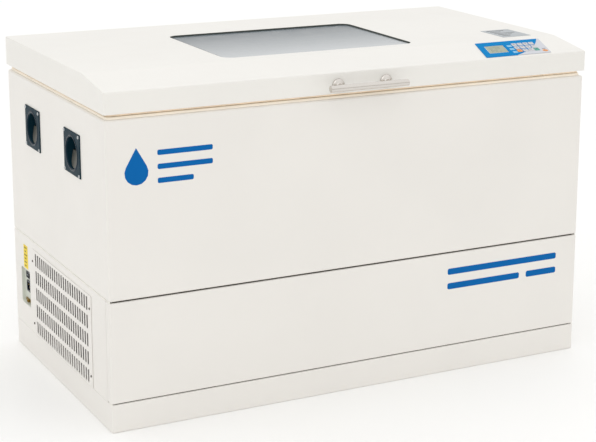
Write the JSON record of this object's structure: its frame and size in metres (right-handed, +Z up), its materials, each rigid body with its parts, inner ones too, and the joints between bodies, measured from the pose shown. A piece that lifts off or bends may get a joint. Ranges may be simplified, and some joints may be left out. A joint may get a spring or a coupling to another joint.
{
  "type": "shaking water bath",
  "caption": "Chest-type refrigerated shaking water bath with a hinged windowed lid, sloping keypad, side grille and an orbiting platform in a stainless tank.",
  "frame": {"origin": "middle of the base, on the floor", "axes": "+X along the long side to the right of someone facing the front, +Y to the back, +Z up"},
  "size_m": [1.356, 0.8465, 0.86],
  "materials": {
    "ivory_paint": "satin",
    "white_paint": "satin",
    "cream_plastic": "satin",
    "cream_rubber": "matte",
    "black_plastic": "gloss",
    "stainless": "satin",
    "chrome": "polished",
    "zinc_steel": "satin",
    "fin_aluminium": "satin",
    "motor_black": "satin",
    "brass": "satin",
    "lever_blue": "satin",
    "foam": "matte",
    "belt_rubber": "matte",
    "dark_rubber": "matte",
    "window_glass": "gloss",
    "overlay_film": "satin",
    "lcd": "satin",
    "key_grey": "satin",
    "key_orange": "satin",
    "key_green": "satin"
  },
  "bodies": {
    "cabinet": {"base_plinth": "ivory_paint", "lower_shell": "ivory_paint", "lower_front_panel": "ivory_paint", "grille_panel": "ivory_paint", "upper_shell": "ivory_paint", "cup_handle_left_front": "black_plastic", "cup_handle_left_rear": "black_plastic", "cup_handle_right_front": "black_plastic", "cup_handle_right_rear": "black_plastic", "power_inlet": "black_plastic", "rim_frame": "cream_plastic", "water_tank": "stainless", "tank_insulation": "foam", "heater_element": "stainless", "evaporator_coil": "stainless", "temperature_probe": "stainless", "drain_valve": "brass", "compressor": "motor_black", "condenser": "fin_aluminium", "fan_frame": "zinc_steel", "crank_bridge": "zinc_steel", "shaker_motor": "motor_black", "drive_belt": "belt_rubber", "hinge_base_left": "zinc_steel", "hinge_base_right": "zinc_steel", "hinge_pin_left": "stainless", "hinge_pin_right": "stainless"},
    "lid": {"lid_shell": "white_paint", "lid_liner": "cream_plastic", "lid_insulation": "foam", "lid_gasket": "cream_rubber", "window_gasket": "dark_rubber", "window_glass": "window_glass", "inner_glass": "window_glass", "lid_handle": "chrome", "control_overlay": "overlay_film", "display": "lcd", "hinge_leaf_left": "zinc_steel", "hinge_leaf_right": "zinc_steel"},
    "condenser_fan": {"condenser_fan": "fin_aluminium"},
    "power_rocker": {"power_rocker": "black_plastic"},
    "drain_lever": {"drain_lever": "lever_blue"},
    "drive_crank": {"drive_crank": "stainless"},
    "idler_crank_left": {"idler_crank_left": "stainless"},
    "idler_crank_right": {"idler_crank_right": "stainless"},
    "motor_pulley": {"motor_pulley": "fin_aluminium"},
    "shaker_platform": {"shaker_platform": "stainless"},
    "key_top_1": {"key_top_1": "key_grey"},
    "key_top_2": {"key_top_2": "key_grey"},
    "key_top_3": {"key_top_3": "key_grey"},
    "key_top_4": {"key_top_4": "key_grey"},
    "key_middle_1": {"key_middle_1": "key_grey"},
    "key_middle_2": {"key_middle_2": "key_grey"},
    "key_middle_3": {"key_middle_3": "key_grey"},
    "key_middle_4": {"key_middle_4": "key_grey"},
    "key_bottom_1": {"key_bottom_1": "key_orange"},
    "key_bottom_2": {"key_bottom_2": "key_grey"},
    "key_bottom_3": {"key_bottom_3": "key_grey"},
    "key_bottom_4": {"key_bottom_4": "key_green"},
    "key_power": {"key_power": "key_orange"}
  },
  "joints": [
    {"name": "lid_hinge", "type": "hinge", "parent": "cabinet", "child": "lid", "pos_m": [0, 0.392, 0.786], "axis": [-1, 0, 0], "range_deg": [0, 75]},
    {"name": "rocker_pivot", "type": "hinge", "parent": "cabinet", "child": "power_rocker", "pos_m": [-0.66, 0.2845, 0.215], "axis": [0, 0, 1], "range_deg": [0, 14]},
    {"name": "drain_lever_turn", "type": "hinge", "parent": "cabinet", "child": "drain_lever", "pos_m": [0.56, 0.391, 0.2205], "axis": [0, 0, -1], "range_deg": [0, 90]},
    {"name": "fan_spin", "type": "hinge", "parent": "cabinet", "child": "condenser_fan", "pos_m": [-0.584, -0.008, 0.19], "axis": [-1, 0, 0], "continuous": true},
    {"name": "crank_spin", "type": "hinge", "parent": "cabinet", "child": "drive_crank", "pos_m": [0, -0.13, 0.5], "axis": [0, 0, 1], "continuous": true},
    {"name": "idler_spin_left", "type": "hinge", "parent": "cabinet", "child": "idler_crank_left", "pos_m": [-0.42, 0.13, 0.5], "axis": [0, 0, 1], "continuous": true},
    {"name": "idler_spin_right", "type": "hinge", "parent": "cabinet", "child": "idler_crank_right", "pos_m": [0.42, 0.13, 0.5], "axis": [0, 0, 1], "continuous": true},
    {"name": "motor_spin", "type": "hinge", "parent": "cabinet", "child": "motor_pulley", "pos_m": [0.14, -0.13, 0.35], "axis": [0, 0, 1], "continuous": true},
    {"name": "platform_pivot", "type": "hinge", "parent": "drive_crank", "child": "shaker_platform", "pos_m": [0.0125, -0.13, 0.67], "axis": [0, 0, 1], "continuous": true},
    {"name": "key_top_1_press", "type": "slide", "parent": "lid", "child": "key_top_1", "axis": [0, 0.148, -0.989], "range_m": [0, 0.0008], "stiffness_N_per_m": 1000},
    {"name": "key_top_2_press", "type": "slide", "parent": "lid", "child": "key_top_2", "axis": [0, 0.148, -0.989], "range_m": [0, 0.0008], "stiffness_N_per_m": 1000},
    {"name": "key_top_3_press", "type": "slide", "parent": "lid", "child": "key_top_3", "axis": [0, 0.148, -0.989], "range_m": [0, 0.0008], "stiffness_N_per_m": 1000},
    {"name": "key_top_4_press", "type": "slide", "parent": "lid", "child": "key_top_4", "axis": [0, 0.148, -0.989], "range_m": [0, 0.0008], "stiffness_N_per_m": 1000},
    {"name": "key_middle_1_press", "type": "slide", "parent": "lid", "child": "key_middle_1", "axis": [0, 0.148, -0.989], "range_m": [0, 0.0008], "stiffness_N_per_m": 1000},
    {"name": "key_middle_2_press", "type": "slide", "parent": "lid", "child": "key_middle_2", "axis": [0, 0.148, -0.989], "range_m": [0, 0.0008], "stiffness_N_per_m": 1000},
    {"name": "key_middle_3_press", "type": "slide", "parent": "lid", "child": "key_middle_3", "axis": [0, 0.148, -0.989], "range_m": [0, 0.0008], "stiffness_N_per_m": 1000},
    {"name": "key_middle_4_press", "type": "slide", "parent": "lid", "child": "key_middle_4", "axis": [0, 0.148, -0.989], "range_m": [0, 0.0008], "stiffness_N_per_m": 1000},
    {"name": "key_bottom_1_press", "type": "slide", "parent": "lid", "child": "key_bottom_1", "axis": [0, 0.148, -0.989], "range_m": [0, 0.0008], "stiffness_N_per_m": 1000},
    {"name": "key_bottom_2_press", "type": "slide", "parent": "lid", "child": "key_bottom_2", "axis": [0, 0.148, -0.989], "range_m": [0, 0.0008], "stiffness_N_per_m": 1000},
    {"name": "key_bottom_3_press", "type": "slide", "parent": "lid", "child": "key_bottom_3", "axis": [0, 0.148, -0.989], "range_m": [0, 0.0008], "stiffness_N_per_m": 1000},
    {"name": "key_bottom_4_press", "type": "slide", "parent": "lid", "child": "key_bottom_4", "axis": [0, 0.148, -0.989], "range_m": [0, 0.0008], "stiffness_N_per_m": 1000},
    {"name": "key_power_press", "type": "slide", "parent": "lid", "child": "key_power", "axis": [0, 0.148, -0.989], "range_m": [0, 0.0008], "stiffness_N_per_m": 1000}
  ],
  "couplings": [
    {"joint": "idler_spin_left", "follows": "crank_spin", "ratio": 1},
    {"joint": "idler_spin_right", "follows": "crank_spin", "ratio": 1},
    {"joint": "platform_pivot", "follows": "crank_spin", "ratio": -1},
    {"joint": "motor_spin", "follows": "crank_spin", "ratio": 3}
  ]
}
